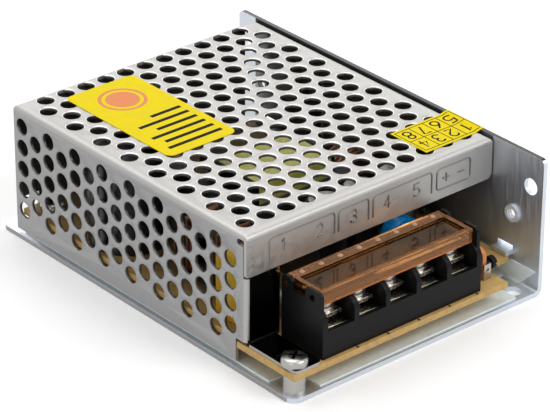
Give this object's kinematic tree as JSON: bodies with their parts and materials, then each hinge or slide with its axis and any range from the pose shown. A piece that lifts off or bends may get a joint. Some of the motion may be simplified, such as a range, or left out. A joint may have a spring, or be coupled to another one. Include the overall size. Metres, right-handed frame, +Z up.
{
  "type": "switching power supply",
  "caption": "Small switching power supply: folded sheet chassis, perforated mesh cover, barrier terminal block with clear flip lid, clamp screws and a voltage trimmer.",
  "frame": {"origin": "centre of the base plate's underside, midway between the outer faces", "axes": "+X to the tall mounting wall, +Y from the terminals to the back, +Z up from the base"},
  "size_m": [0.078, 0.11, 0.0361],
  "materials": {
    "chassis": "brushed",
    "cover": "satin",
    "insulating_sheet": "satin film",
    "circuit_board": "matte laminate",
    "fastener": "nickel plated",
    "terminal_block": "satin",
    "terminal_cover": "clear tinted",
    "contact": "tin plated",
    "clamp": "zinc plated",
    "terminal_screw": "nickel plated",
    "trimmer_body": "gloss",
    "trimmer_rotor": "moulded",
    "label": "printed film",
    "x_capacitor": "moulded",
    "y_capacitor": "dipped",
    "electrolytic": "shrunk sleeve",
    "ferrite": "matte",
    "iron_powder": "painted",
    "tape": "wound film",
    "bobbin": "moulded",
    "copper": "enamelled wire",
    "chip": "moulded",
    "pad": "matte",
    "fuse": "clear"
  },
  "bodies": {
    "body": {"board_screws": "fastener", "bridge_rectifier": "chip", "bulk_capacitor": "electrolytic", "chassis": "chassis", "choke_core": "ferrite", "choke_windings": "copper", "circuit_board": "circuit_board", "contact_1": "contact", "contact_2": "contact", "contact_3": "contact", "contact_4": "contact", "contact_5": "contact", "control_ic": "chip", "cover": "cover", "cover_screws": "fastener", "device_screws": "fastener", "fuse": "fuse", "inductor_core": "iron_powder", "inductor_winding": "copper", "insulating_pads": "pad", "insulating_sheet": "insulating_sheet", "large_label": "label", "optocoupler": "chip", "output_capacitors": "electrolytic", "output_diode": "chip", "power_transistor": "chip", "resistors": "y_capacitor", "small_label": "label", "standoffs": "fastener", "terminal_block": "terminal_block", "thermistor": "bobbin", "transformer_bobbin": "bobbin", "transformer_core": "ferrite", "transformer_winding": "tape", "trimmer_body": "trimmer_body", "trimmer_lug": "fastener", "x_capacitor": "x_capacitor", "y_capacitor": "y_capacitor"},
    "lid": {"terminal_cover": "terminal_cover"},
    "rotor": {"trimmer_rotor": "trimmer_rotor"},
    "clamp_1": {"clamp_1": "clamp", "spring_washer_1": "clamp"},
    "screw_1": {"terminal_screw_1": "terminal_screw"},
    "clamp_2": {"clamp_2": "clamp", "spring_washer_2": "clamp"},
    "screw_2": {"terminal_screw_2": "terminal_screw"},
    "clamp_3": {"clamp_3": "clamp", "spring_washer_3": "clamp"},
    "screw_3": {"terminal_screw_3": "terminal_screw"},
    "clamp_4": {"clamp_4": "clamp", "spring_washer_4": "clamp"},
    "screw_4": {"terminal_screw_4": "terminal_screw"},
    "clamp_5": {"clamp_5": "clamp", "spring_washer_5": "clamp"},
    "screw_5": {"terminal_screw_5": "terminal_screw"}
  },
  "joints": [
    {"name": "lid_flip", "type": "hinge", "parent": "body", "child": "lid", "pos_m": [-0.0047, -0.0411, 0.022], "axis": [-1, 0, 0], "range_deg": [0, 95]},
    {"name": "trim_turn", "type": "hinge", "parent": "body", "child": "rotor", "pos_m": [0.026, -0.0489, 0.0103], "axis": [1, 0, 0], "range_deg": [-120, 120]},
    {"name": "clamp_1_travel", "type": "slide", "parent": "body", "child": "clamp_1", "axis": [0, 0, 1], "range_m": [-0.0013, 0]},
    {"name": "screw_1_turn", "type": "hinge", "parent": "clamp_1", "child": "screw_1", "pos_m": [-0.0237, -0.047, 0.018], "axis": [0, 0, 1], "range_deg": [-781, 0]},
    {"name": "clamp_2_travel", "type": "slide", "parent": "body", "child": "clamp_2", "axis": [0, 0, 1], "range_m": [-0.0013, 0]},
    {"name": "screw_2_turn", "type": "hinge", "parent": "clamp_2", "child": "screw_2", "pos_m": [-0.0142, -0.047, 0.018], "axis": [0, 0, 1], "range_deg": [-781, 0]},
    {"name": "clamp_3_travel", "type": "slide", "parent": "body", "child": "clamp_3", "axis": [0, 0, 1], "range_m": [-0.0013, 0]},
    {"name": "screw_3_turn", "type": "hinge", "parent": "clamp_3", "child": "screw_3", "pos_m": [-0.0047, -0.047, 0.018], "axis": [0, 0, 1], "range_deg": [-781, 0]},
    {"name": "clamp_4_travel", "type": "slide", "parent": "body", "child": "clamp_4", "axis": [0, 0, 1], "range_m": [-0.0013, 0]},
    {"name": "screw_4_turn", "type": "hinge", "parent": "clamp_4", "child": "screw_4", "pos_m": [0.0048, -0.047, 0.018], "axis": [0, 0, 1], "range_deg": [-781, 0]},
    {"name": "clamp_5_travel", "type": "slide", "parent": "body", "child": "clamp_5", "axis": [0, 0, 1], "range_m": [-0.0013, 0]},
    {"name": "screw_5_turn", "type": "hinge", "parent": "clamp_5", "child": "screw_5", "pos_m": [0.0143, -0.047, 0.018], "axis": [0, 0, 1], "range_deg": [-781, 0]}
  ],
  "couplings": [
    {"joint": "screw_1_turn", "follows": "clamp_1_travel", "rad_per_m": 10472},
    {"joint": "screw_2_turn", "follows": "clamp_2_travel", "rad_per_m": 10472},
    {"joint": "screw_3_turn", "follows": "clamp_3_travel", "rad_per_m": 10472},
    {"joint": "screw_4_turn", "follows": "clamp_4_travel", "rad_per_m": 10472},
    {"joint": "screw_5_turn", "follows": "clamp_5_travel", "rad_per_m": 10472}
  ]
}
